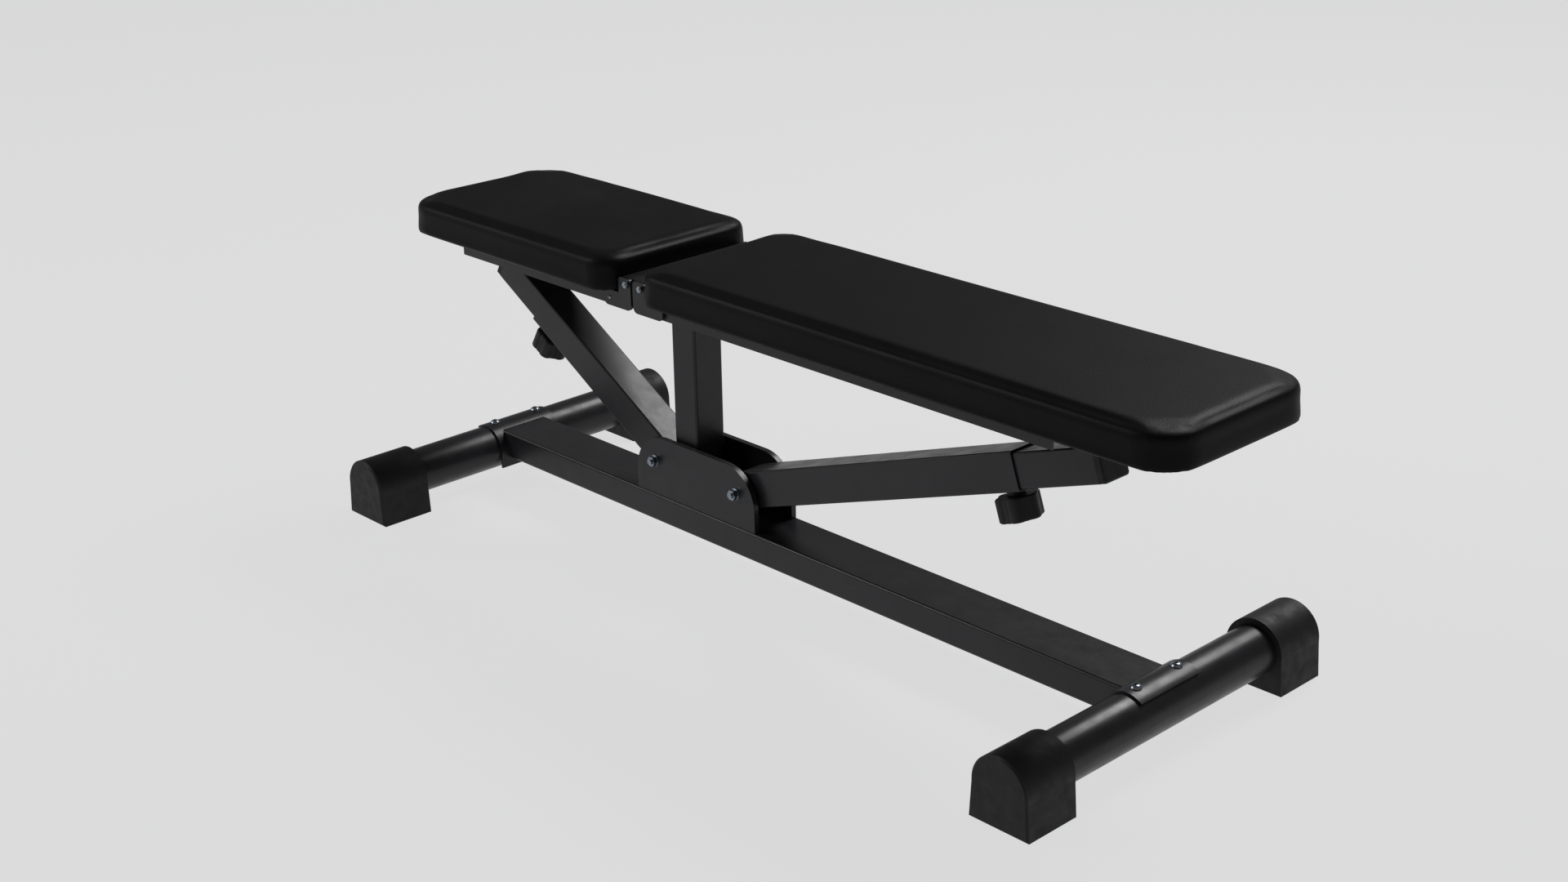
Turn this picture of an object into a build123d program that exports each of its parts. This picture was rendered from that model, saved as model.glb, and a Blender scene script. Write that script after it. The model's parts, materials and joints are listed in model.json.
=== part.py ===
from build123d import *
import math
import os

os.makedirs("parts", exist_ok=True)

# Adjustable weight bench: a floor frame with a post, a flat seat and a backrest hinged on
# the post's head, and a telescopic strut with a pop pin under each of them.
# Millimetres. +X runs from the seat end to the backrest end, +Z is up, the floor is Z = 0
# and the origin is on the floor under the middle of the bench.

# ---------------------------------------------------------------- floor frame
SEAT_TUBE_X = -624.0
BACK_TUBE_X = 576.0
CROSS_TUBE_Z = 49.0
CROSS_TUBE_R = 32.0
CROSS_TUBE_WALL = 2.5
BASE_HALF_WIDTH = 272.5
CAP_LENGTH = 81.0
CAP_TOP_R = 40.0
CAP_FOOT_HALF = 43.0
CAP_KINK_Z = 45.0
CAP_END_WALL = 5.0
SADDLE_GAUGE = 3.0
SADDLE_HALF_WIDTH = 54.0
SADDLE_LIP_ANGLE = 37.0
SADDLE_FLANGE_BOTTOM = 25.0
SADDLE_SCREW_Y = 37.5
SADDLE_HOLE_R = 4.2
BEAM_WIDTH = 80.0
BEAM_HEIGHT = 40.0
BEAM_BOTTOM = 38.0
BEAM_WALL = 2.5
BEAM_TOP = BEAM_BOTTOM + BEAM_HEIGHT

# ---------------------------------------------------------------- post and head
POST_X = -202.4
POST_LENGTH_X = 46.0
POST_WIDTH_Y = 50.0
POST_WALL = 2.5
HEAD_X = -204.5
HEAD_SIZE = 40.0
HEAD_WALL = 2.5
HEAD_TOP = 414.0
HEAD_TUBE_HALF = 99.5
HEAD_END_HALF = 105.5
HEAD_LUG_R = 7.0
POST_TOP = HEAD_TOP - HEAD_SIZE

# ---------------------------------------------------------------- hinges
HINGE_Z = 407.0
SEAT_HINGE_X = -208.5
BACK_HINGE_X = -180.0
STUD_R = 2.5
STUD_END_Y = 116.8
PLATE_THICKNESS = 4.0
PLATE_INNER_Y = 107.0
PLATE_BOTTOM = 371.0
PLATE_SCREW_Z = 382.0
RAIL_SCREW_R = 1.5
SEAT_PLATE_X = (-257.0, -202.0)
BACK_PLATE_X = (-198.0, -140.0)

# ---------------------------------------------------------------- seat and backrest
SEAT_X = (-680.0, -227.0)
BACK_X = (-172.0, 680.0)
PAD_HALF_WIDTH = 136.0
PAD_BOTTOM = 393.0
PAD_TOP = 441.0
PAD_FAR_CORNER_R = 55.0
PAD_HINGE_CORNER_R = 38.0
PAD_EDGE_R = 14.0
BOARD_THICKNESS = 12.0
BOARD_INSET = 12.0
RAIL_GAUGE = 3.0
RAIL_FLANGE = 25.0
RAIL_BOTTOM = 371.5
SEAT_RAIL_X = (-573.0, -234.0)
BACK_RAIL_X = (-164.0, 501.0)
CROSS_BAR_LENGTH = 30.0
CROSS_BAR_WALL = 2.0
HANGER_INNER_Y = 20.0
HANGER_THICKNESS = 4.0
HANGER_END_R = 10.0
HANGER_HALF_LENGTH = 12.0
PAD_SCREW_Y = 94.0
PAD_SCREW_R = 3.0

# ---------------------------------------------------------------- struts
SEAT_STRUT_PIVOT = (-253.5, 127.7)
SEAT_STRUT_ANGLE = 149.3
BACK_STRUT_PIVOT = (-90.6, 125.4)
BACK_STRUT_ANGLE = 19.0
SLEEVE_SIZE = 50.0
SLEEVE_WALL = 2.0
INNER_SIZE = 45.0
INNER_WALL = 2.5
SEAT_SLEEVE_LENGTH = 308.8
BACK_SLEEVE_LENGTH = 496.7
SEAT_INNER_SPAN = (70.0, 399.5)
BACK_INNER_SPAN = (30.0, 617.8)
PLUG_THICKNESS = 10.0
PLUG_TONGUE = 15.0
PIN_FROM_SLEEVE_END = 29.0
SEAT_LUG_ALONG = 370.0
BACK_LUG_ALONG = 603.0
LUG_RISE = 34.0
LUG_INNER_Y = 15.0
LUG_THICKNESS = 4.0
LUG_HALF_LENGTH = 18.0
LUG_TOP_RISE = 43.5
SEAT_TILT_MAX = 20.0
BACK_TILT_MAX = 80.0
SEAT_HOLE_STEPS = 2
BACK_HOLE_STEPS = 5

# ---------------------------------------------------------------- strut bracket
BRACKET_X = (-292.0, -55.0)
BRACKET_TOP = 163.0
BRACKET_CORNER_R = 56.0
BRACKET_INNER_Y = 30.0
BRACKET_THICKNESS = 8.0
PIVOT_BOLT_R = 4.0
PIVOT_TUBE_R = 7.0
PIVOT_WASHER = 1.6

# ---------------------------------------------------------------- pop pins (drops are below the strut's axis)
PIN_R = 5.0
PIN_STEM_R = 4.0
PIN_TAIL_R = 3.0
PIN_TIP_DROP = 23.0
PIN_COLLAR_DROP = 33.0
PIN_STEM_DROP = 36.0
PIN_TAIL_DROP = 54.6
PIN_END_DROP = 58.0
HOUSING_R = 11.0
HOUSING_BORE_R = 7.0
HOUSING_FLOOR_DROP = 44.5
HOUSING_END_DROP = 47.0
SPRING_COILS = 3.5
SPRING_WIRE_R = 0.7
SPRING_R = 5.5
KNOB_TOP_DROP = 32.6
KNOB_BOTTOM_DROP = 62.6
KNOB_LOBES = 6
KNOB_R = 28.0
KNOB_CORE_R = 25.0
KNOB_LOBE_R = 11.0

SIDES = {"near": -1, "far": 1}


def finish(builder, label):
    """Names a finished piece and writes it."""
    builder.part.label = label
    export_step(builder.part, f"parts/{label}.step")


def side_view(y=0.0):
    """The XZ plane at y: local x is X, local y is Z, and extruding positive goes towards -Y."""
    return Plane.XZ.offset(-y)


def facing(x, y, z, sign):
    """A plane at a point whose normal is +Y or -Y, outward on the chosen side."""
    return Plane(origin=(x, y, z), x_dir=(1, 0, 0), z_dir=(0, sign, 0))


def strut_frame(pivot, angle):
    """Frame on a strut's lower pivot: x along the strut, z square to it on its upper side."""
    turn = math.radians(angle)
    along = Vector(math.cos(turn), 0, math.sin(turn))
    flip = 1 if math.cos(turn) > 0 else -1
    upper = Vector(-math.sin(turn) * flip, 0, math.cos(turn) * flip)
    return Plane(origin=(pivot[0], 0, pivot[1]), x_dir=along, z_dir=upper)


def strut_point(frame, along, rise):
    """World point on a strut's middle plane, from its own along and rise distances."""
    return frame.origin + frame.x_dir * along + frame.z_dir * rise


def strut_side(frame):
    """The strut's middle plane, with local x along it and local y on its upper side."""
    return Plane(origin=frame.origin, x_dir=frame.x_dir, z_dir=frame.y_dir * -1)


def strut_section(frame, along):
    """The plane square to a strut, extruding positive towards its upper end."""
    return Plane(origin=strut_point(frame, along, 0), x_dir=frame.y_dir, z_dir=frame.x_dir)


def strut_under(frame, along, drop):
    """A plane under a strut, drop below its axis, extruding positive away from it."""
    return Plane(origin=strut_point(frame, along, -drop), x_dir=frame.x_dir, z_dir=frame.z_dir * -1)


def tilted(x, z, hinge_x, angle):
    """A frame point once its frame has turned by angle, with +X going towards +Z."""
    turn = math.radians(angle)
    dx = x - hinge_x
    dz = z - HINGE_Z
    new_x = hinge_x + dx * math.cos(turn) - dz * math.sin(turn)
    return new_x, HINGE_Z + dx * math.sin(turn) + dz * math.cos(turn)


def strut_travel(frame, lug_along, hinge_x, angle):
    """How far a telescopic strut opens as its frame turns from flat to its limit."""
    low = strut_point(frame, lug_along, LUG_RISE)
    high = tilted(low.X, low.Z, hinge_x, angle)
    reach = math.hypot(high[0] - frame.origin.X, high[1] - frame.origin.Z)
    return math.sqrt(reach**2 - LUG_RISE**2) - lug_along


def hex_bolts(label, planes, radius, length, head_flat, head_height):
    """Hex bolts: each shank runs behind its plane and each head stands on it."""
    with BuildPart() as bolts:
        for plane in planes:
            with BuildSketch(plane):
                Circle(radius)
            extrude(amount=-length)
            with BuildSketch(plane):
                RegularPolygon(head_flat / 2, 6, major_radius=False)
            extrude(amount=head_height)
    finish(bolts, label)


def hex_nuts(label, planes, bore, flat, height):
    """Hex nuts standing on their planes."""
    with BuildPart() as nuts:
        for plane in planes:
            with BuildSketch(plane):
                RegularPolygon(flat / 2, 6, major_radius=False)
                Circle(bore, mode=Mode.SUBTRACT)
            extrude(amount=height)
    finish(nuts, label)


def rings(label, planes, outer, inner, height):
    """Washers or spacers standing on their planes."""
    with BuildPart() as washers:
        for plane in planes:
            with BuildSketch(plane):
                Circle(outer)
                Circle(inner, mode=Mode.SUBTRACT)
            extrude(amount=height)
    finish(washers, label)


def button_screws(label, planes, radius, length, head_r, head_height, key_flat):
    """Domed hex-socket screws: heads stand on their planes, shanks run behind them."""
    with BuildPart() as screws:
        for plane in planes:
            profile = Plane(origin=plane.origin, x_dir=plane.x_dir, z_dir=plane.y_dir * -1)
            with BuildSketch(profile):
                with BuildLine():
                    Polyline(
                        (0.3 * head_r, head_height),
                        (0, head_height),
                        (0, -length),
                        (radius, -length),
                        (radius, 0),
                        (head_r, 0),
                        (head_r, 0.2 * head_height),
                    )
                    ThreePointArc(
                        (head_r, 0.2 * head_height),
                        (0.76 * head_r, 0.72 * head_height),
                        (0.3 * head_r, head_height),
                    )
                make_face()
            revolve(axis=Axis(plane.origin, plane.z_dir))
            with BuildSketch(plane.offset(head_height)):
                RegularPolygon(key_flat / 2, 6, major_radius=False)
            extrude(amount=-head_height * 0.6, mode=Mode.SUBTRACT)
    finish(screws, label)


# ---------------------------------------------------------------- main beam
# Both ends are coped to the saddles they are welded to.
saddle_r = CROSS_TUBE_R + SADDLE_GAUGE
beam_start = SEAT_TUBE_X + CROSS_TUBE_R / 2
beam_end = BACK_TUBE_X - CROSS_TUBE_R / 2
with BuildPart() as main_beam:
    with BuildSketch(Plane.YZ.offset(beam_start)):
        with Locations((0, BEAM_BOTTOM + BEAM_HEIGHT / 2)):
            RectangleRounded(BEAM_WIDTH, BEAM_HEIGHT, 3.5)
            RectangleRounded(
                BEAM_WIDTH - 2 * BEAM_WALL, BEAM_HEIGHT - 2 * BEAM_WALL, 1.5, mode=Mode.SUBTRACT
            )
    extrude(amount=beam_end - beam_start)
    with BuildSketch(side_view(BEAM_WIDTH)):
        for tube_x in (SEAT_TUBE_X, BACK_TUBE_X):
            with Locations((tube_x, CROSS_TUBE_Z)):
                Circle(saddle_r)
            with Locations((tube_x, CROSS_TUBE_Z - saddle_r)):
                Rectangle(2 * saddle_r, 2 * saddle_r)
    extrude(amount=2 * BEAM_WIDTH, mode=Mode.SUBTRACT)
finish(main_beam, "main_beam")


# ---------------------------------------------------------------- cross tubes, saddles, caps
def cross_tube(label, tube_x):
    """A round foot tube lying along Y, drilled on top for the saddle's screws."""
    half = BASE_HALF_WIDTH - CAP_END_WALL
    with BuildPart() as tube:
        with BuildSketch(side_view(half)):
            with Locations((tube_x, CROSS_TUBE_Z)):
                Circle(CROSS_TUBE_R)
                Circle(CROSS_TUBE_R - CROSS_TUBE_WALL, mode=Mode.SUBTRACT)
        extrude(amount=2 * half)
        with BuildSketch(Plane.XY.offset(CROSS_TUBE_Z)):
            with Locations((tube_x, -SADDLE_SCREW_Y), (tube_x, SADDLE_SCREW_Y)):
                Circle(SADDLE_HOLE_R)
        extrude(amount=CROSS_TUBE_R + 1, mode=Mode.SUBTRACT)
    finish(tube, label)


def saddle(label, tube_x, inward):
    """The plate that hooks over a foot tube and runs down its inner side for the beam."""
    lip = math.radians(SADDLE_LIP_ANGLE)
    lip_x = inward * math.sin(lip)
    lip_z = math.cos(lip)
    beam_side = tube_x + inward * saddle_r
    tube_side = tube_x + inward * CROSS_TUBE_R
    lip_out = (tube_x - lip_x * saddle_r, CROSS_TUBE_Z + lip_z * saddle_r)
    lip_in = (tube_x - lip_x * CROSS_TUBE_R, CROSS_TUBE_Z + lip_z * CROSS_TUBE_R)
    with BuildPart() as plate:
        with BuildSketch(side_view()):
            with BuildLine():
                Line((tube_side, CROSS_TUBE_Z), (tube_side, SADDLE_FLANGE_BOTTOM))
                Line((tube_side, SADDLE_FLANGE_BOTTOM), (beam_side, SADDLE_FLANGE_BOTTOM))
                Line((beam_side, SADDLE_FLANGE_BOTTOM), (beam_side, CROSS_TUBE_Z))
                ThreePointArc((beam_side, CROSS_TUBE_Z), (tube_x, CROSS_TUBE_Z + saddle_r), lip_out)
                Line(lip_out, lip_in)
                ThreePointArc(
                    lip_in, (tube_x, CROSS_TUBE_Z + CROSS_TUBE_R), (tube_side, CROSS_TUBE_Z)
                )
            make_face()
        extrude(amount=SADDLE_HALF_WIDTH, both=True)
        with BuildSketch(Plane.XY.offset(CROSS_TUBE_Z)):
            with Locations((tube_x, -SADDLE_SCREW_Y), (tube_x, SADDLE_SCREW_Y)):
                Circle(SADDLE_HOLE_R)
        extrude(amount=saddle_r + 1, mode=Mode.SUBTRACT)
    finish(plate, label)


def foot_cap(label, tube_x, sign):
    """A moulded cap over a foot tube's end, with a flat tread and a blind bore."""
    left = tube_x - CAP_TOP_R
    right = tube_x + CAP_TOP_R
    with BuildPart() as cap:
        with BuildSketch(side_view(sign * BASE_HALF_WIDTH)):
            with BuildLine():
                Polyline(
                    (left, CROSS_TUBE_Z),
                    (left, CAP_KINK_Z),
                    (tube_x - CAP_FOOT_HALF, 0),
                    (tube_x + CAP_FOOT_HALF, 0),
                    (right, CAP_KINK_Z),
                    (right, CROSS_TUBE_Z),
                )
                ThreePointArc(
                    (right, CROSS_TUBE_Z), (tube_x, CROSS_TUBE_Z + CAP_TOP_R), (left, CROSS_TUBE_Z)
                )
            make_face()
        extrude(amount=sign * CAP_LENGTH)
        ends = cap.faces().filter_by(Axis.Y).sort_by(Axis.Y)
        chamfer((ends[-1] if sign > 0 else ends[0]).edges(), 2.5)
        with BuildSketch(side_view(sign * (BASE_HALF_WIDTH - CAP_END_WALL))):
            with Locations((tube_x, CROSS_TUBE_Z)):
                Circle(CROSS_TUBE_R + 0.05)
        extrude(amount=sign * CAP_LENGTH, mode=Mode.SUBTRACT)
    finish(cap, label)


saddle_top = CROSS_TUBE_Z + saddle_r
screw_planes = []
nut_planes = []
for end, tube_x, inward in (("seat", SEAT_TUBE_X, 1), ("back", BACK_TUBE_X, -1)):
    cross_tube(f"{end}_end_cross_tube", tube_x)
    saddle(f"{end}_end_saddle", tube_x, inward)
    for side, sign in SIDES.items():
        foot_cap(f"{end}_{side}_foot_cap", tube_x, sign)
        screw_planes.append(Plane(origin=(tube_x, sign * SADDLE_SCREW_Y, saddle_top)))
        nut_planes.append(Plane(origin=(tube_x, sign * SADDLE_SCREW_Y, saddle_top - 13.0)))
button_screws("saddle_screws", screw_planes, 4.0, 15.0, 7.0, 4.4, 5.0)
hex_nuts("saddle_nuts", nut_planes, 4.0, 13.0, 6.4)

# ---------------------------------------------------------------- post and head
with BuildPart() as post:
    with BuildSketch(Plane.XY.offset(BEAM_TOP)):
        with Locations((POST_X, 0)):
            RectangleRounded(POST_LENGTH_X, POST_WIDTH_Y, 4.0)
            RectangleRounded(
                POST_LENGTH_X - 2 * POST_WALL, POST_WIDTH_Y - 2 * POST_WALL, 1.5, mode=Mode.SUBTRACT
            )
    extrude(amount=POST_TOP - BEAM_TOP)
finish(post, "post")

with BuildPart() as hinge_head:
    with BuildSketch(side_view(HEAD_TUBE_HALF)):
        with Locations((HEAD_X, HEAD_TOP - HEAD_SIZE / 2)):
            RectangleRounded(HEAD_SIZE, HEAD_SIZE, 3.0)
            RectangleRounded(
                HEAD_SIZE - 2 * HEAD_WALL, HEAD_SIZE - 2 * HEAD_WALL, 1.0, mode=Mode.SUBTRACT
            )
    extrude(amount=2 * HEAD_TUBE_HALF)
finish(hinge_head, "hinge_head")

# Each end plate closes the head and reaches out round the backrest's stud.
with BuildPart() as hinge_head_ends:
    for sign in SIDES.values():
        with BuildSketch(side_view(sign * HEAD_END_HALF)):
            with Locations((HEAD_X, HEAD_TOP - HEAD_SIZE / 2)):
                RectangleRounded(HEAD_SIZE, HEAD_SIZE, 3.0)
            with Locations((BACK_HINGE_X, HINGE_Z)):
                Circle(HEAD_LUG_R)
            with Locations((BACK_HINGE_X - HEAD_LUG_R, HINGE_Z)):
                Rectangle(2 * HEAD_LUG_R, 2 * HEAD_LUG_R)
            with Locations((SEAT_HINGE_X, HINGE_Z), (BACK_HINGE_X, HINGE_Z)):
                Circle(STUD_R, mode=Mode.SUBTRACT)
        extrude(amount=sign * (HEAD_END_HALF - HEAD_TUBE_HALF))
finish(hinge_head_ends, "hinge_head_ends")

with BuildPart() as hinge_studs:
    for sign in SIDES.values():
        with BuildSketch(side_view(sign * STUD_END_Y)):
            with Locations((SEAT_HINGE_X, HINGE_Z), (BACK_HINGE_X, HINGE_Z)):
                Circle(STUD_R)
        extrude(amount=sign * (STUD_END_Y - HEAD_TUBE_HALF))
finish(hinge_studs, "hinge_studs")

nut_planes = []
washer_planes = []
for hinge_x in (SEAT_HINGE_X, BACK_HINGE_X):
    for sign in SIDES.values():
        nut_y = sign * (PLATE_INNER_Y + PLATE_THICKNESS + 0.1)
        nut_planes.append(facing(hinge_x, nut_y, HINGE_Z, sign))
        washer_planes.append(facing(hinge_x, sign * HEAD_END_HALF, HINGE_Z, sign))
hex_nuts("hinge_nuts", nut_planes, STUD_R, 8.0, 4.7)
rings("hinge_washers", washer_planes, 5.0, STUD_R, 1.4)

# ---------------------------------------------------------------- strut bracket on the beam
bracket_outer_y = BRACKET_INNER_Y + BRACKET_THICKNESS
with BuildPart() as strut_brackets:
    for sign in SIDES.values():
        with BuildSketch(side_view(sign * bracket_outer_y)) as outline:
            with Locations(((BRACKET_X[0] + BRACKET_X[1]) / 2, (BEAM_TOP + BRACKET_TOP) / 2)):
                Rectangle(BRACKET_X[1] - BRACKET_X[0], BRACKET_TOP - BEAM_TOP)
            fillet(outline.vertices().group_by(Axis.Y)[-1], BRACKET_CORNER_R)
            with Locations(SEAT_STRUT_PIVOT, BACK_STRUT_PIVOT):
                Circle(PIVOT_BOLT_R, mode=Mode.SUBTRACT)
        extrude(amount=sign * BRACKET_THICKNESS)
finish(strut_brackets, "strut_brackets")

head_planes = []
nut_planes = []
washer_planes = []
spacer_planes = []
for x, z in (SEAT_STRUT_PIVOT, BACK_STRUT_PIVOT):
    head_planes.append(facing(x, bracket_outer_y + PIVOT_WASHER, z, 1))
    nut_planes.append(facing(x, -bracket_outer_y - PIVOT_WASHER, z, -1))
    for sign in SIDES.values():
        washer_planes.append(facing(x, sign * bracket_outer_y, z, sign))
        spacer_planes.append(facing(x, sign * (SLEEVE_SIZE / 2 + 0.1), z, sign))
hex_bolts("strut_pivot_bolts", head_planes, PIVOT_BOLT_R, 2 * bracket_outer_y + 13.0, 13.0, 5.3)
hex_nuts("strut_pivot_nuts", nut_planes, PIVOT_BOLT_R, 13.0, 6.8)
rings("strut_pivot_washers", washer_planes, 8.0, PIVOT_BOLT_R, PIVOT_WASHER)
spacer_height = BRACKET_INNER_Y - SLEEVE_SIZE / 2 - 0.1
rings("strut_pivot_spacers", spacer_planes, 9.0, PIVOT_BOLT_R, spacer_height)


# ---------------------------------------------------------------- seat and backrest frames
def rails(label, span, screw_spots, plate_screw_x):
    """Two steel angles: an upright leg outside, a flat leg turned inwards under the board."""
    with BuildPart() as angles:
        for sign in SIDES.values():
            outer = sign * PLATE_INNER_Y
            inner = sign * (PLATE_INNER_Y - RAIL_FLANGE)
            leg = sign * (PLATE_INNER_Y - RAIL_GAUGE)
            with BuildSketch(Plane.YZ.offset(span[0])):
                with BuildLine():
                    Polyline(
                        (outer, RAIL_BOTTOM),
                        (outer, PAD_BOTTOM),
                        (inner, PAD_BOTTOM),
                        (inner, PAD_BOTTOM - RAIL_GAUGE),
                        (leg, PAD_BOTTOM - RAIL_GAUGE),
                        (leg, RAIL_BOTTOM),
                        close=True,
                    )
                make_face()
            extrude(amount=span[1] - span[0])
        with BuildSketch(Plane.XY.offset(PAD_BOTTOM - RAIL_GAUGE)):
            with Locations(*screw_spots):
                Circle(PAD_SCREW_R)
        extrude(amount=RAIL_GAUGE, mode=Mode.SUBTRACT)
        if plate_screw_x is not None:
            with BuildSketch(side_view(PLATE_INNER_Y)):
                with Locations((plate_screw_x, PLATE_SCREW_Z)):
                    Circle(RAIL_SCREW_R)
            extrude(amount=2 * PLATE_INNER_Y, mode=Mode.SUBTRACT)
    finish(angles, label)


def hinge_plates(label, span, pad_end, gap_side, hinge_x, plate_screw_x):
    """Side plates: full height in the gap between the pads, lower where the pad sits on them."""
    gap_edge = span[1] if gap_side > 0 else span[0]
    far_edge = span[0] if gap_side > 0 else span[1]
    step = pad_end + gap_side * 0.6
    with BuildPart() as plates:
        for sign in SIDES.values():
            with BuildSketch(side_view(sign * PLATE_INNER_Y)) as outline:
                with BuildLine():
                    Polyline(
                        (far_edge, PLATE_BOTTOM),
                        (gap_edge, PLATE_BOTTOM),
                        (gap_edge, HEAD_TOP),
                        (step, HEAD_TOP),
                        (step, PAD_BOTTOM - 0.5),
                        (far_edge, PAD_BOTTOM - 0.5),
                        close=True,
                    )
                make_face()
                fillet(outline.vertices().group_by(Axis.Y)[0], 8.0)
                fillet(outline.vertices().group_by(Axis.Y)[-1], 5.0)
                with Locations((hinge_x, HINGE_Z)):
                    Circle(STUD_R + 0.05, mode=Mode.SUBTRACT)
                if plate_screw_x is not None:
                    with Locations((plate_screw_x, PLATE_SCREW_Z)):
                        Circle(RAIL_SCREW_R, mode=Mode.SUBTRACT)
            extrude(amount=-sign * PLATE_THICKNESS)
    finish(plates, label)


def cross_bars(label, centres):
    """Flat tubes joining the two rails under the board."""
    height = PAD_BOTTOM - RAIL_GAUGE - RAIL_BOTTOM
    half = PLATE_INNER_Y - RAIL_GAUGE
    wall = 2 * CROSS_BAR_WALL
    with BuildPart() as bars:
        for x in centres:
            with BuildSketch(side_view(half)):
                with Locations((x, RAIL_BOTTOM + height / 2)):
                    Rectangle(CROSS_BAR_LENGTH, height)
                    Rectangle(CROSS_BAR_LENGTH - wall, height - wall, mode=Mode.SUBTRACT)
            extrude(amount=2 * half)
    finish(bars, label)


def hanger(label, x, z):
    """Two ears under a cross bar that hold the bolt at the top of a strut."""
    outer = HANGER_INNER_Y + HANGER_THICKNESS
    reach = HANGER_HALF_LENGTH
    with BuildPart() as ears:
        for sign in SIDES.values():
            with BuildSketch(side_view(sign * outer)):
                with BuildLine():
                    Line((x - reach, RAIL_BOTTOM), (x + reach, RAIL_BOTTOM))
                    Line((x + reach, RAIL_BOTTOM), (x + HANGER_END_R, z))
                    ThreePointArc(
                        (x + HANGER_END_R, z), (x, z - HANGER_END_R), (x - HANGER_END_R, z)
                    )
                    Line((x - HANGER_END_R, z), (x - reach, RAIL_BOTTOM))
                make_face()
                with Locations((x, z)):
                    Circle(PIVOT_BOLT_R, mode=Mode.SUBTRACT)
            extrude(amount=sign * HANGER_THICKNESS)
    finish(ears, label)


def draw_plan(plan, span, inset, far_sign):
    """Draws a pad's plan outline, shrunk by inset, in the sketch being built."""
    length = span[1] - span[0] - 2 * inset
    with Locations(((span[0] + span[1]) / 2, 0)):
        Rectangle(length, 2 * (PAD_HALF_WIDTH - inset))
    far_group = -1 if far_sign > 0 else 0
    hinge_group = 0 if far_sign > 0 else -1
    fillet(plan.vertices().group_by(Axis.X)[far_group], PAD_FAR_CORNER_R - inset)
    fillet(plan.vertices().group_by(Axis.X)[hinge_group], PAD_HINGE_CORNER_R - inset)


def board(label, span, far_sign, screw_spots):
    """The plywood board let into the pad's underside."""
    with BuildPart() as panel:
        with BuildSketch(Plane.XY.offset(PAD_BOTTOM)) as plan:
            draw_plan(plan, span, BOARD_INSET, far_sign)
            with Locations(*screw_spots):
                Circle(PAD_SCREW_R, mode=Mode.SUBTRACT)
        extrude(amount=BOARD_THICKNESS)
    finish(panel, label)


def pad(label, span, far_sign):
    """The upholstered cushion, hollowed underneath for its board."""
    with BuildPart() as cushion:
        with BuildSketch(Plane.XY.offset(PAD_BOTTOM)) as plan:
            draw_plan(plan, span, 0.0, far_sign)
        extrude(amount=PAD_TOP - PAD_BOTTOM)
        fillet(cushion.faces().sort_by(Axis.Z)[-1].edges(), PAD_EDGE_R)
        fillet(cushion.faces().sort_by(Axis.Z)[0].edges(), 4.0)
        with BuildSketch(Plane.XY.offset(PAD_BOTTOM)) as pocket:
            draw_plan(pocket, span, BOARD_INSET, far_sign)
        extrude(amount=BOARD_THICKNESS, mode=Mode.SUBTRACT)
    finish(cushion, label)


def upper_frame(name, pad_span, rail_span, plate_span, gap_side, hinge_x, screw_xs, bar_x, lug):
    """Everything that tilts with one pad; only the seat's plates are screwed to its rails."""
    pad_end = pad_span[1] if gap_side > 0 else pad_span[0]
    plate_screw_x = (plate_span[0] + rail_span[1]) / 2 if gap_side > 0 else None
    screw_spots = [(x, sign * PAD_SCREW_Y) for x in screw_xs for sign in SIDES.values()]
    rails(f"{name}_rails", rail_span, screw_spots, plate_screw_x)
    hinge_plates(f"{name}_hinge_plates", plate_span, pad_end, gap_side, hinge_x, plate_screw_x)
    if plate_screw_x is not None:
        head_y = PLATE_INNER_Y + PLATE_THICKNESS
        plate_planes = [
            facing(plate_screw_x, sign * head_y, PLATE_SCREW_Z, sign) for sign in SIDES.values()
        ]
        button_screws(f"{name}_rail_screws", plate_planes, RAIL_SCREW_R, 9.0, 2.6, 1.6, 1.6)
    cross_bars(f"{name}_cross_bars", (lug.X, bar_x))
    hanger(f"{name}_strut_hanger", lug.X, lug.Z)
    ear_y = HANGER_INNER_Y + HANGER_THICKNESS
    bolt_plane = facing(lug.X, ear_y, lug.Z, 1)
    hex_bolts(f"{name}_strut_bolt", [bolt_plane], PIVOT_BOLT_R, 2 * ear_y + 9.0, 13.0, 5.3)
    nut_plane = facing(lug.X, -ear_y, lug.Z, -1)
    hex_nuts(f"{name}_strut_nut", [nut_plane], PIVOT_BOLT_R, 13.0, 6.8)
    board(f"{name}_board", pad_span, -gap_side, screw_spots)
    pad(f"{name}_pad", pad_span, -gap_side)
    under_rail = PAD_BOTTOM - RAIL_GAUGE
    under_planes = []
    for x, y in screw_spots:
        under_planes.append(Plane(origin=(x, y, under_rail), x_dir=(1, 0, 0), z_dir=(0, 0, -1)))
    button_screws(f"{name}_pad_screws", under_planes, PAD_SCREW_R, 14.0, 5.5, 3.3, 4.0)


seat_strut = strut_frame(SEAT_STRUT_PIVOT, SEAT_STRUT_ANGLE)
back_strut = strut_frame(BACK_STRUT_PIVOT, BACK_STRUT_ANGLE)
upper_frame(
    "seat",
    SEAT_X,
    SEAT_RAIL_X,
    SEAT_PLATE_X,
    1,
    SEAT_HINGE_X,
    (-500.0, -340.0),
    -290.0,
    strut_point(seat_strut, SEAT_LUG_ALONG, LUG_RISE),
)
upper_frame(
    "back",
    BACK_X,
    BACK_RAIL_X,
    BACK_PLATE_X,
    -1,
    BACK_HINGE_X,
    (-60.0, 180.0, 400.0),
    -105.0,
    strut_point(back_strut, BACK_LUG_ALONG, LUG_RISE),
)


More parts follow.
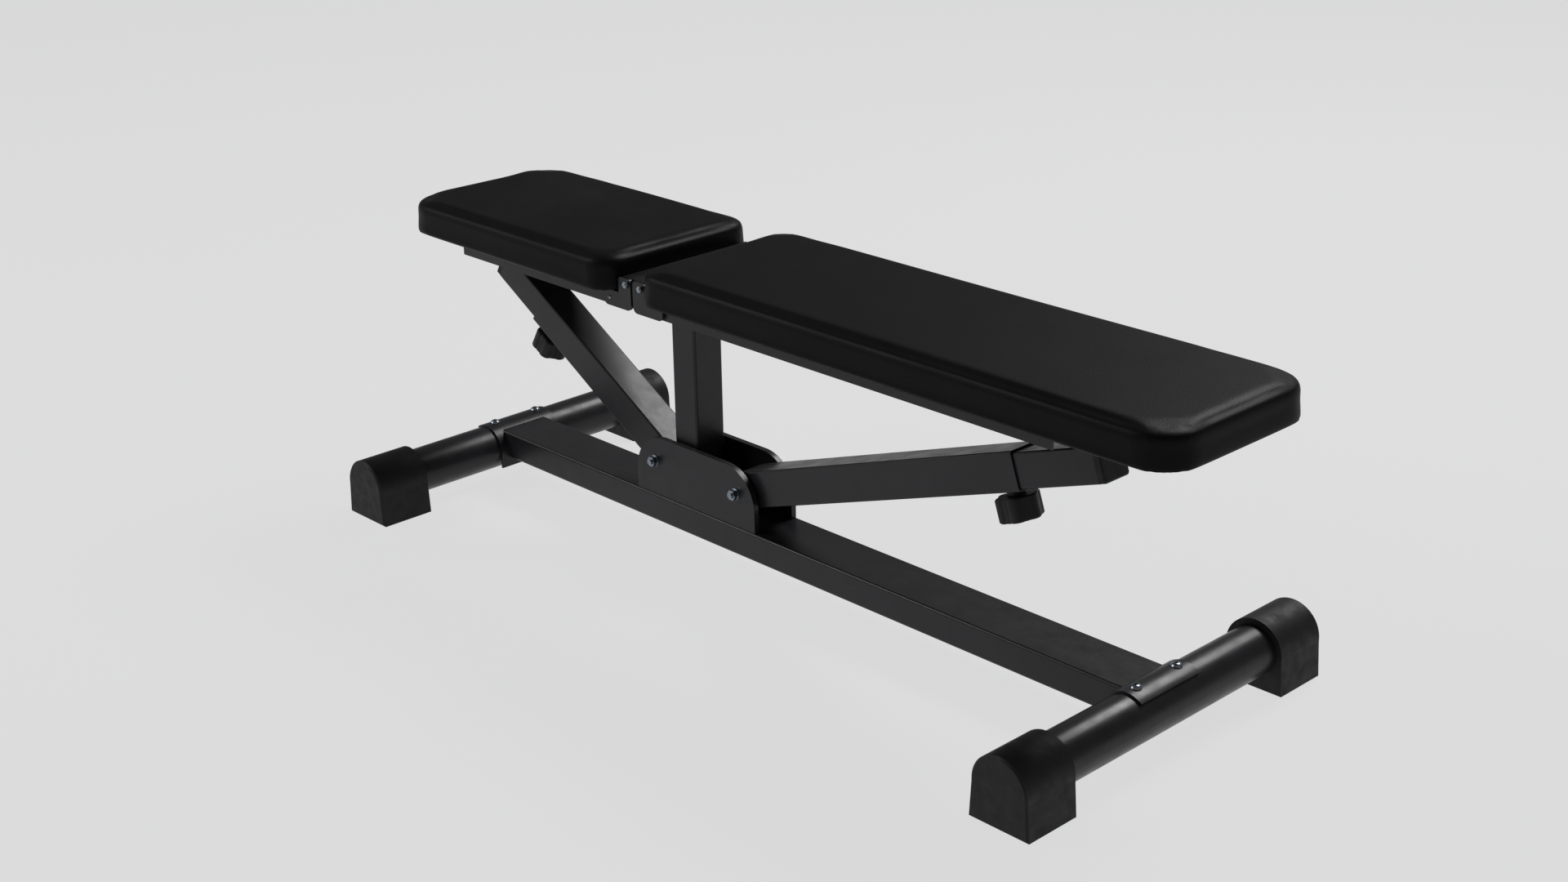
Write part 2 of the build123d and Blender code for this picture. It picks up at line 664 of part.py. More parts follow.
# ---------------------------------------------------------------- struts
def sleeve(label, frame, length):
    """The strut's outer tube: rounded lower end, a pivot tube across it, one pin hole."""
    half = SLEEVE_SIZE / 2
    inside = SLEEVE_SIZE - 2 * SLEEVE_WALL
    pin_along = length - PIN_FROM_SLEEVE_END
    with BuildPart() as tube:
        with BuildSketch(strut_section(frame, -half)):
            RectangleRounded(SLEEVE_SIZE, SLEEVE_SIZE, 3.0)
            RectangleRounded(inside, inside, 1.0, mode=Mode.SUBTRACT)
        extrude(amount=length + half)
        with BuildSketch(strut_side(frame)):
            Circle(half)
            with Locations((length / 2, 0)):
                Rectangle(length, SLEEVE_SIZE)
        extrude(amount=half, both=True, mode=Mode.INTERSECT)
        with BuildSketch(strut_side(frame)):
            Circle(PIVOT_TUBE_R)
        extrude(amount=half, both=True)
        with BuildSketch(strut_side(frame)):
            Circle(PIVOT_BOLT_R + 0.05)
        extrude(amount=half, both=True, mode=Mode.SUBTRACT)
        with BuildSketch(strut_under(frame, pin_along, half - 2 * SLEEVE_WALL)):
            Circle(PIN_R + 0.1)
        extrude(amount=3 * SLEEVE_WALL, mode=Mode.SUBTRACT)
    finish(tube, label)


def inner_tube(label, frame, span, pin_along, step, steps):
    """The strut's sliding tube with a row of pin holes in its lower wall."""
    inside = INNER_SIZE - 2 * INNER_WALL
    with BuildPart() as tube:
        with BuildSketch(strut_section(frame, span[0])):
            RectangleRounded(INNER_SIZE, INNER_SIZE, 3.0)
            RectangleRounded(inside, inside, 1.0, mode=Mode.SUBTRACT)
        extrude(amount=span[1] - span[0])
        with BuildSketch(strut_under(frame, pin_along, INNER_SIZE / 2 - 2 * INNER_WALL)):
            with Locations(*[(-step * index, 0) for index in range(steps + 1)]):
                Circle(PIN_R + 0.25)
        extrude(amount=3 * INNER_WALL, mode=Mode.SUBTRACT)
    finish(tube, label)


def strut_lug(label, frame, along, open_topped):
    """Two ears on the sliding tube that carry the hanger's bolt."""
    top = LUG_TOP_RISE
    foot = INNER_SIZE / 2
    seat_r = PIVOT_BOLT_R + 0.4
    outer = LUG_INNER_Y + LUG_THICKNESS
    with BuildPart() as ears:
        for sign in SIDES.values():
            middle = strut_point(frame, along, 0)
            face = Plane(
                origin=(middle.X, sign * outer, middle.Z),
                x_dir=frame.x_dir,
                z_dir=frame.y_dir * -1,
            )
            with BuildSketch(face) as outline:
                with Locations((0, (top + foot) / 2)):
                    Rectangle(2 * LUG_HALF_LENGTH, top - foot)
                fillet(outline.vertices().group_by(Axis.Y)[-1], 6.0)
                if open_topped:
                    with Locations((0, LUG_RISE)):
                        Circle(seat_r, mode=Mode.SUBTRACT)
                    with BuildLine():
                        Polyline(
                            (-seat_r, LUG_RISE),
                            (-seat_r, top + 5.0),
                            (LUG_HALF_LENGTH + 5.0, top + 5.0),
                            (LUG_HALF_LENGTH + 5.0, LUG_RISE + 3.0),
                            (0.342 * seat_r, LUG_RISE - 0.94 * seat_r),
                            (0, LUG_RISE),
                            close=True,
                        )
                    make_face(mode=Mode.SUBTRACT)
                else:
                    with Locations((0.7, LUG_RISE + 0.7)):
                        Circle(PIVOT_BOLT_R + 1.35, mode=Mode.SUBTRACT)
            towards_middle = -sign if face.z_dir.Y > 0 else sign
            extrude(amount=towards_middle * LUG_THICKNESS)
    finish(ears, label)


def end_plug(label, frame, along):
    """The moulded plug in the sliding tube's upper end."""
    tongue = INNER_SIZE - 2 * INNER_WALL - 0.2
    with BuildPart() as plug:
        with BuildSketch(strut_section(frame, along)):
            RectangleRounded(INNER_SIZE, INNER_SIZE, 4.0)
        extrude(amount=PLUG_THICKNESS)
        chamfer(plug.faces().sort_by(Axis(frame.origin, frame.x_dir))[-1].edges(), 2.0)
        with BuildSketch(strut_section(frame, along)):
            RectangleRounded(tongue, tongue, 1.5)
            Rectangle(tongue - 6.0, tongue - 6.0, mode=Mode.SUBTRACT)
        extrude(amount=-PLUG_TONGUE)
    finish(plug, label)


def pin_housing(label, frame, along):
    """The barrel welded under the sleeve that guides the pop pin and holds its spring."""
    with BuildPart() as barrel:
        with BuildSketch(strut_under(frame, along, SLEEVE_SIZE / 2)):
            Circle(HOUSING_R)
            Circle(HOUSING_BORE_R, mode=Mode.SUBTRACT)
        extrude(amount=HOUSING_FLOOR_DROP - SLEEVE_SIZE / 2)
        with BuildSketch(strut_under(frame, along, HOUSING_FLOOR_DROP)):
            Circle(HOUSING_R)
            Circle(PIN_STEM_R + 0.1, mode=Mode.SUBTRACT)
        extrude(amount=HOUSING_END_DROP - HOUSING_FLOOR_DROP)
    finish(barrel, label)


def pop_pin(label, frame, along):
    """The pop pin in its pulled and parked position: tip, collar, stem and tail."""
    with BuildPart() as rod:
        for radius, start, end in (
            (PIN_R, PIN_TIP_DROP, PIN_COLLAR_DROP),
            (HOUSING_BORE_R - 0.25, PIN_COLLAR_DROP, PIN_STEM_DROP),
            (PIN_STEM_R, PIN_STEM_DROP, PIN_TAIL_DROP),
            (PIN_TAIL_R, PIN_TAIL_DROP, PIN_END_DROP),
        ):
            with BuildSketch(strut_under(frame, along, start)):
                Circle(radius)
            extrude(amount=end - start)
        with BuildSketch(strut_under(frame, along, PIN_END_DROP)):
            Circle(2.0)
        extrude(amount=-7.0, mode=Mode.SUBTRACT)
    finish(rod, label)


def pin_spring(label, frame, along):
    """The coil spring between the pin's collar and the floor of its housing."""
    height = HOUSING_FLOOR_DROP - PIN_STEM_DROP - 2 * SPRING_WIRE_R - 0.1
    base = strut_under(frame, along, PIN_STEM_DROP + SPRING_WIRE_R + 0.05)
    with BuildPart() as coil:
        with BuildLine() as path:
            Helix(height / SPRING_COILS, height, SPRING_R, center=base.origin, direction=base.z_dir)
        with BuildSketch(Plane(origin=path.line @ 0, z_dir=path.line % 0)):
            Circle(SPRING_WIRE_R)
        sweep(is_frenet=True)
    finish(coil, label)


def knob(label, frame, along):
    """The lobed hand knob, hollow on top so that it passes over the housing."""
    height = KNOB_BOTTOM_DROP - KNOB_TOP_DROP
    away = Axis(strut_point(frame, along, 0), frame.z_dir * -1)
    with BuildPart() as grip:
        with BuildSketch(strut_under(frame, along, KNOB_TOP_DROP)):
            Circle(KNOB_CORE_R)
            with PolarLocations(KNOB_R - KNOB_LOBE_R, KNOB_LOBES):
                Circle(KNOB_LOBE_R)
        extrude(amount=height)
        ends = grip.faces().sort_by(away)
        chamfer(ends[0].edges() + ends[-1].edges(), 1.8)
        with BuildSketch(strut_under(frame, along, KNOB_TOP_DROP)):
            Circle(HOUSING_R + 1.0)
        extrude(amount=PIN_TAIL_DROP + 0.1 - KNOB_TOP_DROP, mode=Mode.SUBTRACT)
        with BuildSketch(strut_under(frame, along, KNOB_TOP_DROP)):
            Circle(PIN_TAIL_R + 0.05)
        extrude(amount=height, mode=Mode.SUBTRACT)
        with BuildSketch(strut_under(frame, along, KNOB_BOTTOM_DROP)):
            Circle(6.0)
        extrude(amount=PIN_END_DROP - 0.1 - KNOB_BOTTOM_DROP, mode=Mode.SUBTRACT)
    finish(grip, label)


def strut(name, frame, sleeve_length, inner_span, lug_along, hinge_x, tilt, steps, open_topped):
    """One telescopic strut with its pop pin and knob."""
    pin_along = sleeve_length - PIN_FROM_SLEEVE_END
    step = strut_travel(frame, lug_along, hinge_x, tilt) / steps
    sleeve(f"{name}_strut_sleeve", frame, sleeve_length)
    inner_tube(f"{name}_strut_inner_tube", frame, inner_span, pin_along, step, steps)
    strut_lug(f"{name}_strut_lug", frame, lug_along, open_topped)
    end_plug(f"{name}_strut_plug", frame, inner_span[1])
    pin_housing(f"{name}_pin_housing", frame, pin_along)
    pop_pin(f"{name}_pin", frame, pin_along)
    pin_spring(f"{name}_pin_spring", frame, pin_along)
    knob(f"{name}_knob", frame, pin_along)
    screw_plane = strut_under(frame, pin_along, PIN_END_DROP)
    button_screws(f"{name}_knob_screw", [screw_plane], 2.0, 7.0, 5.5, 3.0, 3.0)


strut(
    "seat",
    seat_strut,
    SEAT_SLEEVE_LENGTH,
    SEAT_INNER_SPAN,
    SEAT_LUG_ALONG,
    SEAT_HINGE_X,
    -SEAT_TILT_MAX,
    SEAT_HOLE_STEPS,
    False,
)
strut(
    "back",
    back_strut,
    BACK_SLEEVE_LENGTH,
    BACK_INNER_SPAN,
    BACK_LUG_ALONG,
    BACK_HINGE_X,
    BACK_TILT_MAX,
    BACK_HOLE_STEPS,
    True,
)
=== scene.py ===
import json
import math

import bmesh
import bpy
from mathutils import Matrix, Vector


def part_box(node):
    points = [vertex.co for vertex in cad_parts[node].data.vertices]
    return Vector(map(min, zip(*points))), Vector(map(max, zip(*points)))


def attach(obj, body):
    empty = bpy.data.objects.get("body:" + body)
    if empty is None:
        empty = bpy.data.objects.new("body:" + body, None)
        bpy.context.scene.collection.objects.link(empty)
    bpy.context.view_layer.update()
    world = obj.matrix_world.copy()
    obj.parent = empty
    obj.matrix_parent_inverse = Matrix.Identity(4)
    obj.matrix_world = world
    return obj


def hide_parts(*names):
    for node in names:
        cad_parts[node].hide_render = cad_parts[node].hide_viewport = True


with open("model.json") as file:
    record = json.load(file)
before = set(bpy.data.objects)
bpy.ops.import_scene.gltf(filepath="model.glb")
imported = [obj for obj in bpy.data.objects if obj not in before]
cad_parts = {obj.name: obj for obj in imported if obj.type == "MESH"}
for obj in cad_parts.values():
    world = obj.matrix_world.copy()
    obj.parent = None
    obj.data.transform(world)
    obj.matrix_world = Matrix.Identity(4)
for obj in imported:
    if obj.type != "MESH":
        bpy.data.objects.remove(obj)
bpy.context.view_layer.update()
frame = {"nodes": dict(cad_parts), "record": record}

# Adjustable weight bench: the CAD frame with painted, plated and moulded finishes, and two
# vinyl-covered cushions inflated by cloth simulation. Metres, in the CAD model's own frame.

MM = 0.001

# Camera: where it stands, the direction it looks, and its lens.
CAMERA_PLACE = (1.92705, -1.85135, 1.27205)
CAMERA_AZIMUTH = math.radians(46.6721)
CAMERA_FALL = math.radians(21.5796)
CAMERA_ROLL = math.radians(-1.0426)
CAMERA_LENS_MM = 51.005
CAMERA_SENSOR_MM = 36.0

# Cushions: the plan's corners, the rounded edge above and hem below, and the board let in.
BOARD_TOP = 405.0 * MM
BOARD_GAP = 0.3 * MM
BOARD_MARGIN = 1.0 * MM
FAR_CORNER_R = 55.0 * MM
HINGE_CORNER_R = 38.0 * MM
EDGE_R = 13.0 * MM
HEM_R = 2.5 * MM
SHRINK = 1.0 * MM
CORNER_STEPS = 12
EDGE_STEPS = 6
VOXEL = 5.0 * MM

# Cloth simulation, and how much of its growth is kept.
PRESSURE = 4.0
CLOTH_QUALITY = 4
SWELL_FRAMES = 20
PINNED_HEIGHT = 6.0 * MM
SWELL_SHARE = 0.5
SWELL_CAP = 2.2 * MM
EVEN_STEPS = 14

# Studio
FLOOR_HALF = 200.0
FLOOR_DROP = 0.5 * MM
FLOOR_GLOW = 0.955
FLOOR_COLOUR = (0.06, 0.06, 0.0605, 1.0)
WORLD_STRENGTH = 0.25
PALE = (0.708, 0.708, 0.716, 1.0)

# Numbers of a Mix node's colour sockets, whose names aren't unique.
MIX_COLOUR_A = 6
MIX_COLOUR_B = 7
MIX_COLOUR_OUT = 2

BLACK = (0.0, 0.0, 0.0)

scene = bpy.context.scene
nodes = frame["nodes"]
scene.view_settings.view_transform = "Standard"


# ---------------------------------------------------------------- camera
def add_camera():
    """Adds the camera, looking down along the bench from its backrest end."""
    data = bpy.data.cameras.new("camera")
    data.sensor_width = CAMERA_SENSOR_MM
    data.lens = CAMERA_LENS_MM
    camera = bpy.data.objects.new("camera", data)
    scene.collection.objects.link(camera)
    look = Vector(
        (
            -math.sin(CAMERA_AZIMUTH) * math.cos(CAMERA_FALL),
            math.cos(CAMERA_AZIMUTH) * math.cos(CAMERA_FALL),
            -math.sin(CAMERA_FALL),
        )
    )
    level = look.cross(Vector((0, 0, 1))).normalized()
    upright = level.cross(look)
    right = math.cos(CAMERA_ROLL) * level + math.sin(CAMERA_ROLL) * upright
    up = -math.sin(CAMERA_ROLL) * level + math.cos(CAMERA_ROLL) * upright
    turn = Matrix((right, up, -look)).transposed().to_4x4()
    camera.matrix_world = Matrix.Translation(CAMERA_PLACE) @ turn
    scene.camera = camera


add_camera()


# ---------------------------------------------------------------- shader helpers
class Shader:
    """A Principled material with a few short ways to add procedural nodes."""

    def __init__(self, name):
        self.material = bpy.data.materials.new(name)
        self.material.use_nodes = True
        self.tree = self.material.node_tree
        self.bsdf = self.tree.nodes["Principled BSDF"]
        self.place = self.tree.nodes.new("ShaderNodeTexCoord").outputs["Object"]

    def set(self, **values):
        """Sets constants on the Principled sockets; spaces in names are underscores."""
        for name, value in values.items():
            self.bsdf.inputs[name.replace("_", " ")].default_value = value

    def link(self, output, name):
        """Drives a Principled socket from a node's output."""
        self.tree.links.new(output, self.bsdf.inputs[name])

    def scaled(self, stretch):
        """Object coordinates stretched along each axis."""
        node = self.tree.nodes.new("ShaderNodeMapping")
        node.inputs["Scale"].default_value = stretch
        self.tree.links.new(self.place, node.inputs["Vector"])
        return node.outputs["Vector"]

    def noise(self, scale, detail=3.0, roughness=0.5, stretch=None):
        """A 0 to 1 noise pattern; scale is in features per metre."""
        node = self.tree.nodes.new("ShaderNodeTexNoise")
        node.inputs["Scale"].default_value = scale
        node.inputs["Detail"].default_value = detail
        node.inputs["Roughness"].default_value = roughness
        vector = self.scaled(stretch) if stretch else self.place
        self.tree.links.new(vector, node.inputs["Vector"])
        return node.outputs["Fac"]

    def cells(self, scale, feature="F1"):
        """Distances in a cell pattern; scale is in cells per metre."""
        node = self.tree.nodes.new("ShaderNodeTexVoronoi")
        node.feature = feature
        node.inputs["Scale"].default_value = scale
        self.tree.links.new(self.place, node.inputs["Vector"])
        return node.outputs["Distance"]

    def spread(self, value, low, high, start=0.3, end=0.7):
        """Maps a 0 to 1 pattern between start and end onto low to high."""
        node = self.tree.nodes.new("ShaderNodeMapRange")
        node.inputs["From Min"].default_value = start
        node.inputs["From Max"].default_value = end
        node.inputs["To Min"].default_value = low
        node.inputs["To Max"].default_value = high
        self.tree.links.new(value, node.inputs["Value"])
        return node.outputs["Result"]

    def colours(self, value, *stops):
        """A colour ramp over (position, colour) stops."""
        node = self.tree.nodes.new("ShaderNodeValToRGB")
        ramp = node.color_ramp
        ramp.elements[0].position, ramp.elements[0].color = stops[0][0], (*stops[0][1], 1.0)
        ramp.elements[1].position, ramp.elements[1].color = stops[-1][0], (*stops[-1][1], 1.0)
        for position, colour in stops[1:-1]:
            ramp.elements.new(position).color = (*colour, 1.0)
        self.tree.links.new(value, node.inputs["Fac"])
        return node.outputs["Color"]

    def mix(self, factor, first, second):
        """Blends two colour outputs by a factor output."""
        node = self.tree.nodes.new("ShaderNodeMix")
        node.data_type = "RGBA"
        self.tree.links.new(factor, node.inputs["Factor"])
        self.tree.links.new(first, node.inputs[MIX_COLOUR_A])
        self.tree.links.new(second, node.inputs[MIX_COLOUR_B])
        return node.outputs[MIX_COLOUR_OUT]

    def bump(self, height, distance, strength=1.0, under=None):
        """A bump layer, over an earlier one if given; distance in metres."""
        node = self.tree.nodes.new("ShaderNodeBump")
        node.inputs["Distance"].default_value = distance
        node.inputs["Strength"].default_value = strength
        self.tree.links.new(height, node.inputs["Height"])
        if under is not None:
            self.tree.links.new(under, node.inputs["Normal"])
        return node.outputs["Normal"]


# ---------------------------------------------------------------- materials
def powder_coat():
    """Charcoal satin powder coat: orange peel, faint mottling and hairline rub marks."""
    coat = Shader("frame_coat")
    coat.set(Metallic=0.2, Specular_IOR_Level=0.3, Coat_Weight=0.06, Coat_Roughness=0.2)
    mottle = coat.colours(
        coat.noise(scale=9.0, detail=4.0, roughness=0.6),
        (0.3, (0.0105, 0.0105, 0.0122)),
        (0.7, (0.0150, 0.0150, 0.0172)),
    )
    rubbed = coat.colours(
        coat.noise(scale=14.0, detail=8.0, roughness=0.75, stretch=(1.0, 6.0, 6.0)),
        (0.66, BLACK),
        (0.76, (0.35, 0.35, 0.35)),
    )
    pale = coat.colours(
        coat.noise(scale=30.0),
        (0.0, (0.030, 0.030, 0.033)),
        (1.0, (0.045, 0.045, 0.049)),
    )
    coat.link(coat.mix(rubbed, mottle, pale), "Base Color")
    patches = coat.noise(scale=45.0, detail=5.0, roughness=0.6)
    coat.link(coat.spread(patches, low=0.30, high=0.43), "Roughness")
    grain = coat.noise(scale=650.0, detail=2.0, roughness=0.4)
    peel = coat.bump(grain, distance=0.00005, strength=0.35)
    waves = coat.bump(coat.noise(scale=90.0), distance=0.0002, strength=0.12, under=peel)
    coat.link(waves, "Normal")
    return coat.material


def moulded_plastic():
    """Black moulded plastic with a spark-eroded grain and scuffed patches."""
    plastic = Shader("cap_plastic")
    plastic.set(Specular_IOR_Level=0.25)
    scuffs = plastic.colours(
        plastic.noise(scale=18.0, detail=6.0, roughness=0.65),
        (0.3, (0.0065, 0.0065, 0.007)),
        (0.62, (0.010, 0.010, 0.0105)),
        (0.8, (0.020, 0.020, 0.021)),
    )
    plastic.link(scuffs, "Base Color")
    patches = plastic.noise(scale=70.0, detail=4.0)
    plastic.link(plastic.spread(patches, low=0.48, high=0.66), "Roughness")
    grain = plastic.bump(plastic.cells(scale=900.0), distance=0.00012, strength=0.4)
    waves = plastic.bump(
        plastic.noise(scale=240.0), distance=0.0001, strength=0.25, under=grain
    )
    plastic.link(waves, "Normal")
    return plastic.material


def zinc_plate():
    """Dulled blue-passivated zinc with fine drawn lines."""
    zinc = Shader("zinc")
    zinc.set(Metallic=1.0)
    tint = zinc.colours(
        zinc.noise(scale=160.0),
        (0.3, (0.18, 0.21, 0.25)),
        (0.55, (0.27, 0.30, 0.33)),
        (0.75, (0.24, 0.26, 0.26)),
    )
    zinc.link(tint, "Base Color")
    patches = zinc.noise(scale=420.0, detail=4.0, roughness=0.7)
    zinc.link(zinc.spread(patches, low=0.2, high=0.36), "Roughness")
    lines = zinc.noise(scale=500.0, detail=2.0, stretch=(1.0, 8.0, 1.0))
    zinc.link(zinc.bump(lines, distance=0.00003, strength=0.3), "Normal")
    return zinc.material


def black_nylon():
    """Turned black nylon with faint tool lines."""
    nylon = Shader("nylon")
    nylon.set(Specular_IOR_Level=0.4)
    tint = nylon.colours(
        nylon.noise(scale=120.0),
        (0.3, (0.012, 0.012, 0.013)),
        (0.7, (0.022, 0.022, 0.023)),
    )
    nylon.link(tint, "Base Color")
    nylon.link(nylon.spread(nylon.noise(scale=200.0), low=0.38, high=0.52), "Roughness")
    lines = nylon.noise(scale=800.0)
    nylon.link(nylon.bump(lines, distance=0.00003, strength=0.4), "Normal")
    return nylon.material


def black_board():
    """Plywood painted black: thin paint with the wood's long grain showing through."""
    wood = Shader("plywood")
    wood.set(Specular_IOR_Level=0.2)
    painted = wood.colours(
        wood.noise(scale=26.0, detail=6.0, roughness=0.6, stretch=(0.6, 9.0, 9.0)),
        (0.3, (0.008, 0.008, 0.008)),
        (0.6, (0.013, 0.012, 0.012)),
        (0.8, (0.026, 0.022, 0.019)),
    )
    wood.link(painted, "Base Color")
    wood.link(wood.spread(wood.noise(scale=90.0), low=0.55, high=0.75), "Roughness")
    grain = wood.noise(scale=60.0, detail=6.0, roughness=0.6, stretch=(1.0, 9.0, 9.0))
    wood.link(wood.bump(grain, distance=0.0003, strength=0.3), "Normal")
    return wood.material


def black_vinyl():
    """Black upholstery vinyl: pebbled grain, soft rippling and slightly polished wear."""
    vinyl = Shader("vinyl")
    vinyl.set(Specular_IOR_Level=0.085)
    tint = vinyl.colours(
        vinyl.noise(scale=7.0, detail=5.0, roughness=0.6),
        (0.3, (0.0020, 0.0020, 0.0023)),
        (0.7, (0.0036, 0.0036, 0.0040)),
    )
    vinyl.link(tint, "Base Color")
    polish = vinyl.noise(scale=5.0, detail=4.0, roughness=0.6)
    vinyl.link(vinyl.spread(polish, low=0.40, high=0.54), "Roughness")
    pebbles = vinyl.bump(
        vinyl.cells(scale=620.0, feature="SMOOTH_F1"), distance=0.00022, strength=0.5
    )
    creases = vinyl.bump(
        vinyl.cells(scale=210.0, feature="DISTANCE_TO_EDGE"),
        distance=0.00012,
        strength=0.22,
        under=pebbles,
    )
    ripples = vinyl.noise(scale=11.0, detail=2.0)
    waves = vinyl.bump(ripples, distance=0.0016, strength=0.22, under=creases)
    vinyl.link(waves, "Normal")
    return vinyl.material


finishes = {
    "frame_coat": powder_coat(),
    "cap_plastic": moulded_plastic(),
    "zinc": zinc_plate(),
    "nylon": black_nylon(),
    "plywood": black_board(),
    "vinyl": black_vinyl(),
}


def dress(piece, finish):
    """Gives a piece one of the finishes in place of what it came with."""
    piece.data.materials.clear()
    piece.data.materials.append(finishes[finish])


for subpart in frame["record"]["subparts"]:
    dress(nodes[subpart["node"]], subpart["material_slot"])


# ---------------------------------------------------------------- cushions
def outline(low, high, far_end, inset):
    """Points round a cushion's plan, drawn in by inset, with its own corner radii."""
    left, right = low.x + inset, high.x - inset
    near, far = low.y + inset, high.y - inset
    left_r = (FAR_CORNER_R if far_end < 0 else HINGE_CORNER_R) - inset
    right_r = (FAR_CORNER_R if far_end > 0 else HINGE_CORNER_R) - inset
    corners = (
        (right - right_r, far - right_r, right_r, 0),
        (left + left_r, far - left_r, left_r, 90),
        (left + left_r, near + left_r, left_r, 180),
        (right - right_r, near + right_r, right_r, 270),
    )
    points = []
    for x, y, radius, start in corners:
        for step in range(CORNER_STEPS + 1):
            turn = math.radians(start + 90 * step / CORNER_STEPS)
            points.append((x + radius * math.cos(turn), y + radius * math.sin(turn)))
    return points


def cushion_levels(low, high):
    """(inset, height) of each ring, from the hem under the cushion to the edge of its top."""
    levels = []
    for step in range(EDGE_STEPS + 1):
        turn = math.radians(90 * step / EDGE_STEPS)
        rise = low.z + HEM_R * (1 - math.cos(turn))
        levels.append((SHRINK + HEM_R * (1 - math.sin(turn)), rise))
    for step in range(EDGE_STEPS + 1):
        turn = math.radians(90 * step / EDGE_STEPS)
        rise = high.z - SHRINK - EDGE_R * (1 - math.sin(turn))
        levels.append((SHRINK + EDGE_R * (1 - math.cos(turn)), rise))
    return levels


def cushion_blank(name, low, high, far_end):
    """A closed slab with rounded corners and edges, a little smaller than the cushion."""
    mesh = bmesh.new()
    rings = []
    for inset, height in cushion_levels(low, high):
        points = outline(low, high, far_end, inset)
        rings.append([mesh.verts.new((x, y, height)) for x, y in points])
    count = len(rings[0])
    for lower, upper in zip(rings, rings[1:]):
        for i in range(count):
            j = (i + 1) % count
            mesh.faces.new((lower[i], lower[j], upper[j], upper[i]))
    mesh.faces.new(list(reversed(rings[0])))
    mesh.faces.new(rings[-1])
    data = bpy.data.meshes.new(name)
    mesh.to_mesh(data)
    mesh.free()
    blank = bpy.data.objects.new(name, data)
    scene.collection.objects.link(blank)
    return blank


def apply_modifiers(piece):
    """Keeps a piece's modified shape as its mesh and drops its modifiers."""
    graph = bpy.context.evaluated_depsgraph_get()
    shape = bpy.data.meshes.new_from_object(piece.evaluated_get(graph))
    piece.modifiers.clear()
    piece.data = shape


def evened(piece, amounts):
    """Averages a value per vertex with its neighbours', so that only broad shapes stay."""
    beside = [[] for _ in amounts]
    for edge in piece.data.edges:
        first, second = edge.vertices
        beside[first].append(second)
        beside[second].append(first)
    for _ in range(EVEN_STEPS):
        amounts = [
            (amount + sum(amounts[other] for other in near)) / (1 + len(near))
            for amount, near in zip(amounts, beside)
        ]
    return amounts


def swell(piece, floor):
    """Inflates a cushion as cloth with its hem held, and keeps a taut share of the growth."""
    held = piece.vertex_groups.new(name="hem")
    start = [v.co.copy() for v in piece.data.vertices]
    outward = [v.normal.copy() for v in piece.data.vertices]
    held.add([i for i, co in enumerate(start) if co.z < floor + PINNED_HEIGHT], 1.0, "REPLACE")
    cloth = piece.modifiers.new("cloth", "CLOTH")
    cloth.settings.use_pressure = True
    cloth.settings.uniform_pressure_force = PRESSURE
    cloth.settings.effector_weights.gravity = 0.0
    cloth.settings.vertex_group_mass = "hem"
    cloth.settings.quality = CLOTH_QUALITY
    cloth.collision_settings.use_collision = False
    cloth.point_cache.frame_end = SWELL_FRAMES
    for step in range(1, SWELL_FRAMES + 1):
        scene.frame_set(step)
    graph = bpy.context.evaluated_depsgraph_get()
    swollen = piece.evaluated_get(graph).data
    growth = [(v.co - co).dot(way) for v, co, way in zip(swollen.vertices, start, outward)]
    piece.modifiers.clear()
    piece.vertex_groups.clear()
    scene.frame_set(1)
    growth = evened(piece, [SWELL_SHARE * amount for amount in growth])
    for vertex, co, way, amount in zip(piece.data.vertices, start, outward, growth):
        vertex.co = co + way * max(-SWELL_CAP, min(SWELL_CAP, amount))


def inside(co, low, high, far_end, inset):
    """Whether a point is inside a cushion's rounded plan drawn in by inset."""
    at_far_end = (co.x > (low.x + high.x) / 2) == (far_end > 0)
    corner_r = FAR_CORNER_R if at_far_end else HINGE_CORNER_R
    out_x = max(low.x + corner_r - co.x, co.x - (high.x - corner_r), 0.0)
    out_y = max(low.y + corner_r - co.y, co.y - (high.y - corner_r), 0.0)
    return math.hypot(out_x, out_y) < corner_r - inset


def let_in_board(piece, low, high, far_end, inset):
    """Sinks a cushion's underside over its board, leaving the hem round it."""
    for vertex in piece.data.vertices:
        co = vertex.co
        if co.z < low.z + VOXEL and inside(co, low, high, far_end, inset):
            co.z = BOARD_TOP + BOARD_GAP


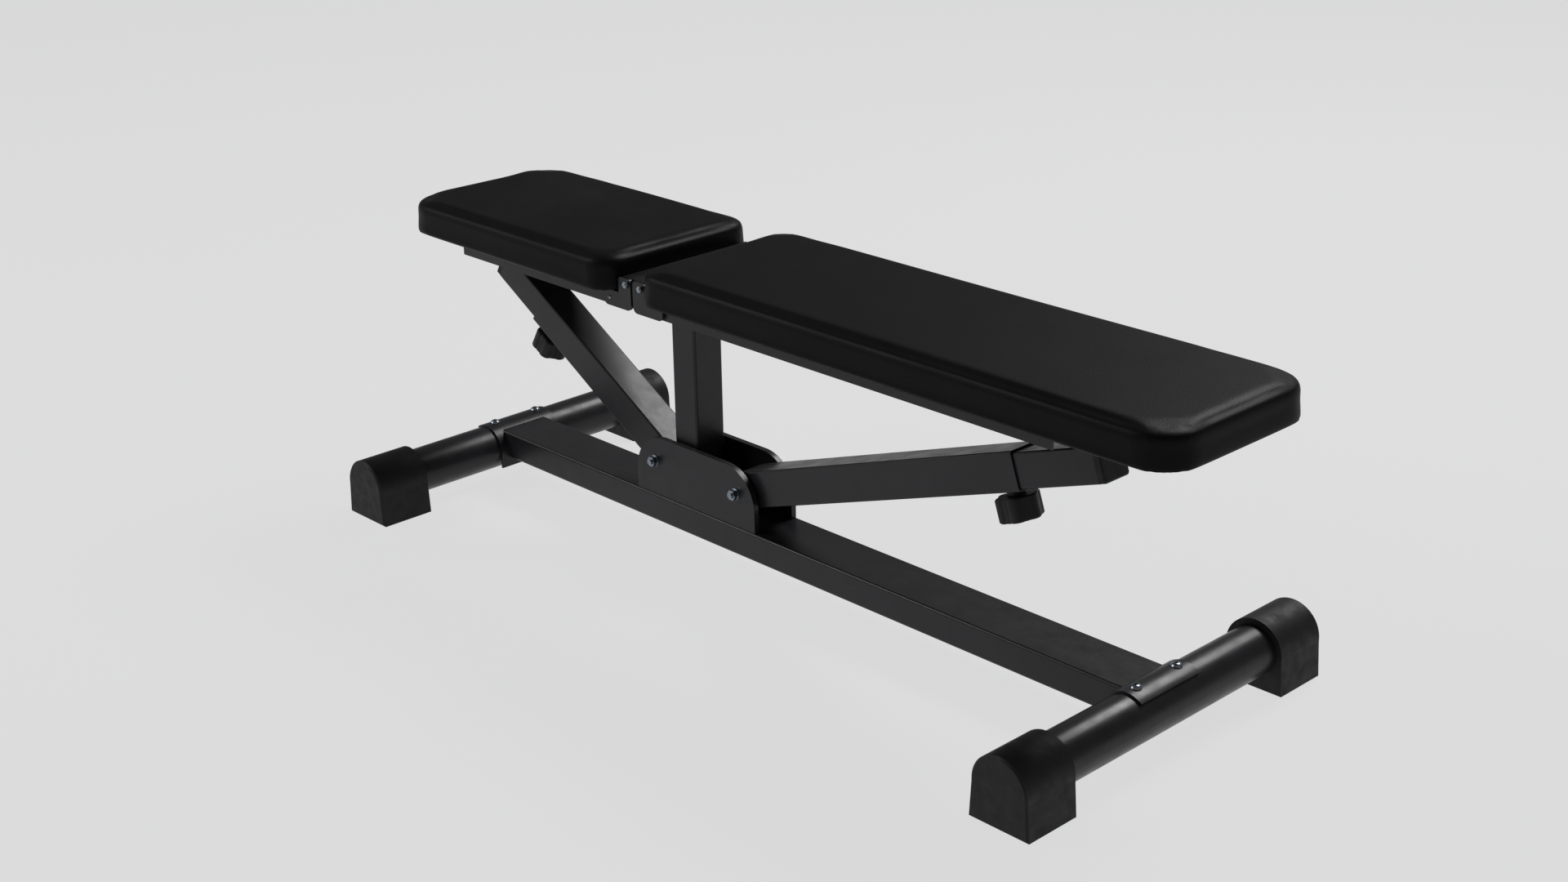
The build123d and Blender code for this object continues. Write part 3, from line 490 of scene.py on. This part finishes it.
def cushion(node, board, far_end, body):
    """Makes one upholstered cushion in place of its CAD solid."""
    low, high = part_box(node)
    piece = cushion_blank(node + "_cushion", low, high, far_end)
    remesh = piece.modifiers.new("remesh", "REMESH")
    remesh.mode = "VOXEL"
    remesh.voxel_size = VOXEL
    apply_modifiers(piece)
    swell(piece, low.z)
    board_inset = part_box(board)[0].x - low.x
    let_in_board(piece, low, high, far_end, board_inset + BOARD_MARGIN)
    piece.modifiers.new("smooth", "SUBSURF").levels = 1
    apply_modifiers(piece)
    for face in piece.data.polygons:
        face.use_smooth = True
    dress(piece, "vinyl")
    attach(piece, body)
    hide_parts(node)


cushion("seat_pad", "seat_board", -1, "seat")
cushion("back_pad", "back_board", 1, "backrest")


# ---------------------------------------------------------------- studio
def pale_floor():
    """A plain pale floor that fills the view."""
    data = bpy.data.meshes.new("floor")
    reach = FLOOR_HALF
    corners = [(-reach, -reach, 0), (reach, -reach, 0), (reach, reach, 0), (-reach, reach, 0)]
    data.from_pydata(corners, [], [(0, 1, 2, 3)])
    floor = bpy.data.objects.new("floor", data)
    scene.collection.objects.link(floor)
    floor.location.z = -FLOOR_DROP
    paper = Shader("floor")
    paper.set(
        Base_Color=FLOOR_COLOUR,
        Roughness=0.9,
        Specular_IOR_Level=0.0,
        Emission_Color=PALE,
        Emission_Strength=FLOOR_GLOW,
    )
    data.materials.append(paper.material)


def softbox(name, place, target, width, height, power):
    """A rectangular soft light aimed at a point."""
    data = bpy.data.lights.new(name, "AREA")
    data.shape = "RECTANGLE"
    data.size = width
    data.size_y = height
    data.energy = power
    light = bpy.data.objects.new(name, data)
    scene.collection.objects.link(light)
    light.location = place
    aim = Vector(target) - Vector(place)
    light.rotation_euler = aim.to_track_quat("-Z", "Y").to_euler()


def pale_world():
    """Even pale light from every side."""
    world = bpy.data.worlds.new("studio")
    world.use_nodes = True
    sky = world.node_tree.nodes["Background"]
    sky.inputs["Color"].default_value = PALE
    sky.inputs["Strength"].default_value = WORLD_STRENGTH
    scene.world = world


pale_floor()
pale_world()
softbox("key", place=(0.0, 2.6, 3.1), target=(0.0, 0.0, 0.2), width=1.6, height=1.2, power=100.0)
softbox("side", place=(-2.6, -2.2, 2.2), target=(0.0, 0.0, 0.3), width=1.5, height=1.5, power=45.0)
